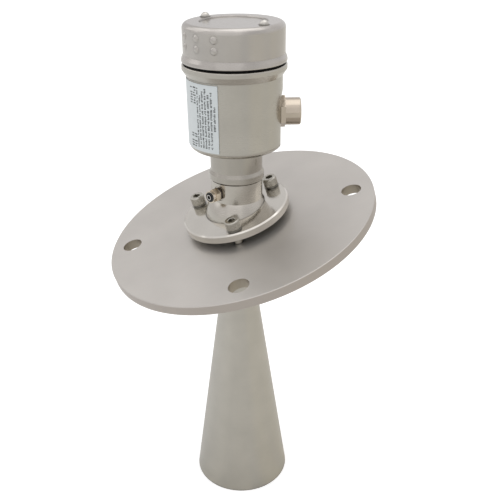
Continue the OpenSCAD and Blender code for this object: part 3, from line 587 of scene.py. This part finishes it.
# The head: the chamfer under it, where the knurls start and stop, and its rounded top,
# as rings this far in and this share of the rounding down
HEAD_UNDERCUT = 0.5 * MM
KNURLS = 48
KNURL_DEPTH = 0.22 * MM
KNURL_START = 0.4 * MM
KNURL_STOP = 0.3 * MM
HEAD_ROUND = 0.9 * MM
HEAD_ARC = ((0.15 * MM, 1.0), (0.35 * MM, 0.45), (0.85 * MM, 0.0))
# The socket for the key: its lead-in at the top, and the drill point at its foot
KEY_ACROSS = 6.0 * MM
KEY_DEPTH = 4.2 * MM
KEY_LEAD = 0.7 * MM
KEY_LEAD_DEPTH = 0.4 * MM
DRILL_WIDE = 0.5 * MM
DRILL_POINT = 1.2 * MM
# Each screw is turned by its place, so that the sockets don't stand alike: radians a metre
SCREW_TURN = 40.0
# Corners of the CAD's screws nearer together than this belong to one screw, and the rim
# of its head is beyond this share of its reach
SAME_SCREW = 20 * MM
RIM_SHARE = 0.9
SIXTH = math.pi / 3


# The three outlines of a screw's rings: the reach at an angle, and at a step round the ring
def plain(size, angle, index):
    return size


def knurl(size, angle, index):
    return size - (KNURL_DEPTH if index % 2 else 0)


def hexagon(size, angle, index):
    return size / 2 / math.cos(angle % SIXTH - SIXTH / 2)


def screw_places():
    """Centre, head and shank of each clamp screw, in the flange's axes."""
    points = [seen_from_ball(p) for p in points_of("clamp_screws")]
    top = max(p.z for p in points)
    tip = min(p.z for p in points)
    groups = []
    for point in points:
        near = [g for g in groups
                if math.hypot(g[0].x - point.x, g[0].y - point.y) < SAME_SCREW]
        if near:
            near[0].append(point)
        else:
            groups.append([point])
    for group in groups:
        x = (min(p.x for p in group) + max(p.x for p in group)) / 2
        y = (min(p.y for p in group) + max(p.y for p in group)) / 2
        reach = {p: math.hypot(p.x - x, p.y - y) for p in map(Vector.freeze, group)}
        head = max(reach.values())
        seat = min(p.z for p, r in reach.items() if r > head * RIM_SHARE)
        shank = max(r for p, r in reach.items() if p.z < (tip + seat) / 2)
        yield x, y, tip, seat, top, shank, head


def make_screws():
    """Detailed screws that stand for the CAD's, in one piece on the flange."""
    vertices = []
    faces = []
    for x, y, tip, seat, top, shank, head in screw_places():
        profile = (
            (plain, shank - TIP_CHAMFER, tip),
            (plain, shank, tip + TIP_CHAMFER),
            (plain, shank, seat),
            (plain, head - HEAD_UNDERCUT, seat),
            (knurl, head, seat + KNURL_START),
            (knurl, head, top - HEAD_ROUND - KNURL_STOP),
            *((plain, head - inward, top - HEAD_ROUND * down) for inward, down in HEAD_ARC),
            (hexagon, KEY_ACROSS + KEY_LEAD, top),
            (hexagon, KEY_ACROSS, top - KEY_LEAD_DEPTH),
            (hexagon, KEY_ACROSS, top - KEY_DEPTH),
            (plain, DRILL_WIDE, top - KEY_DEPTH - DRILL_POINT),
        )
        start = len(vertices)
        rings = []
        for shape, size, height in profile:
            ring = []
            for index in range(2 * KNURLS):
                angle = math.pi * index / KNURLS
                reach = shape(size, angle, index)
                turned = angle + x * SCREW_TURN
                ring.append(put_back((x + reach * math.cos(turned),
                                      y + reach * math.sin(turned), height)))
            rings.append(ring)
            vertices.extend(ring)
        faces.extend(skin(rings, start))
    screws = make_piece("socket_screws", vertices, faces, MATERIALS["clamp_screws"],
                        "flange", sharp=32)
    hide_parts("clamp_screws")


# Nameplate print: rows of plain rectangles up the plate, in place of lettering
PRINT_LIFT = 0.04 * MM
PRINT_EDGE = math.radians(-114.4)
PRINT_ROW_STEP = math.radians(4.1)
PRINT_ROWS = 7
MARK_WIDE = 1.8 * MM
MARK_LONG = 0.85 * MM
MARK_STEP = 1.15 * MM
BIG_EDGE = math.radians(-144)
BIG_STEP = math.radians(6.5)
BIG_ROWS = 2
BIG_WIDE = 3.6 * MM
BIG_LONG = 1.1 * MM
BIG_MARK_STEP = 2.1 * MM
BIG_SPANS = ((0.05, 0.27), (0.70, 0.94))
# Shares of the plate's height between which the first row runs, and the others, whose
# ends are ragged
FIRST_SPAN = (0.34, 0.72)
ROW_START = 0.06
ROW_STOP = 0.94
ROW_RAG = 0.04
# A word's fewest and most marks and the gap after it in steps, and how marks vary
WORD_MARKS = (2, 8)
WORD_GAP = 0.9
MARK_SHARES = (0.62, 0.8, 1.0, 1.0)
MARK_SWAYS = (-0.5, 0, 0.5)
MARK_STRETCH = (0.7, 1.05)
PRINT_SEED = 11
INK = moulded("plate_ink", (0.035, 0.037, 0.04), 0.5)


def make_print():
    """The generic marks on the nameplate."""
    points = points_of("nameplate")
    radius = max(math.hypot(p.x, p.y) for p in points) + PRINT_LIFT
    low = min(p.z for p in points)
    tall = max(p.z for p in points) - low
    vertices = []
    faces = []
    chance = random.Random(PRINT_SEED)

    def mark(angle, wide, foot, head):
        """One printed mark, flat on the wall, between two heights."""
        start = len(vertices)
        half = wide / 2 / radius
        for side, height in ((-half, foot), (half, foot), (half, head), (-half, head)):
            turned = angle + side
            vertices.append((radius * math.cos(turned), radius * math.sin(turned), height))
        faces.append((start, start + 1, start + 2, start + 3))

    def row(angle, foot, head, wide, long, step):
        """Words of marks with gaps between them, from foot to head."""
        at = foot
        while at < head:
            for _ in range(chance.randint(*WORD_MARKS)):
                if at < head:
                    share = chance.choice(MARK_SHARES)
                    sway = chance.choice(MARK_SWAYS) * (1 - share) * wide / radius
                    tip = at + long * chance.uniform(*MARK_STRETCH)
                    mark(angle + sway, wide * share, at, tip)
                at += step
            at += step * WORD_GAP

    for number in range(PRINT_ROWS):
        angle = PRINT_EDGE - number * PRINT_ROW_STEP
        start, stop = FIRST_SPAN if number == 0 else (ROW_START,
                                                      ROW_STOP - ROW_RAG * (number % 3))
        row(angle, low + start * tall, low + stop * tall, MARK_WIDE, MARK_LONG, MARK_STEP)
    for number in range(BIG_ROWS):
        angle = BIG_EDGE - number * BIG_STEP
        for start, stop in BIG_SPANS:
            row(angle, low + start * tall, low + stop * tall, BIG_WIDE, BIG_LONG,
                BIG_MARK_STEP)
    make_piece("nameplate_print", vertices, faces, INK, "enclosure")


# Threads: steps in a turn, and steps over which an end fades
THREAD_STEPS = 40
THREAD_FADE = 8
# The ridge's profile in shares of the pitch and the depth, the share of the pitch before
# it starts, and the share of the depth by which its foot is sunk in the wall
THREAD_PROFILE = ((0.0, 0.0), (0.36, 1.0), (0.44, 1.0), (0.8, 0.0))
THREAD_LEAD = 0.1
THREAD_SUNK = 0.12
RING_THREAD_DEPTH = 0.3 * MM
RING_THREAD_PITCH = 3.0 * MM
RING_THREAD_FOOT = 1.2 * MM
RING_THREAD_END = 0.8 * MM
ENTRY_THREAD_DEPTH = -0.75 * MM
ENTRY_THREAD_PITCH = 1.5 * MM
ENTRY_THREAD_END = 1.0 * MM


def make_thread(name, axis_point, along, side, radius, depth, pitch, length, material,
                body):
    """A helical ridge on a round wall: depth inward is negative."""
    across = along.cross(side)
    total = int(THREAD_STEPS * (length - pitch) / pitch)
    vertices = []
    rings = []
    for index in range(total + 1):
        angle = 2 * math.pi * index / THREAD_STEPS
        fade = min(1.0, index / THREAD_FADE, (total - index) / THREAD_FADE)
        out = side * math.cos(angle) + across * math.sin(angle)
        foot = axis_point + along * (pitch * (index / THREAD_STEPS + THREAD_LEAD))
        ring = []
        for share, rise in THREAD_PROFILE:
            reach = radius + depth * (rise * fade - THREAD_SUNK)
            ring.append(foot + along * (share * pitch) + out * reach)
        rings.append(ring)
        vertices.extend(ring)
    make_piece(name, vertices, skin(rings), material, body, sharp=75)


def make_threads():
    """The thread on the ring that takes the lid, and the one in the cable entry."""
    ring = points_of("thread_ring")
    top = max(p.z for p in ring)
    wall = max(math.hypot(p.x, p.y) for p in ring if p.z > top - MM)
    foot = max(p.z for p in points_of("lid_seal")) + RING_THREAD_FOOT
    make_thread("ring_thread", Vector((0, 0, foot)), Vector((0, 0, 1)), Vector((1, 0, 0)),
                wall, RING_THREAD_DEPTH, RING_THREAD_PITCH, top - foot - RING_THREAD_END,
                MATERIALS["thread_ring"], "enclosure")
    entry = MOUNTS["cable_entry"]
    bore = entry["dims"]["r_mm"] * MM
    mouth = Vector(entry["pos_m"])
    depth = entry["dims"]["length_mm"] * MM
    make_thread("entry_thread", mouth, Vector((-1, 0, 0)), Vector((0, 0, 1)), bore,
                ENTRY_THREAD_DEPTH, ENTRY_THREAD_PITCH, depth - ENTRY_THREAD_END,
                MATERIALS["cable_adapter"], "enclosure")


# ---- The scene ---------------------------------------------------------------

make_camera()
make_studio()
dress_nodes()
make_screws()
make_print()
make_threads()
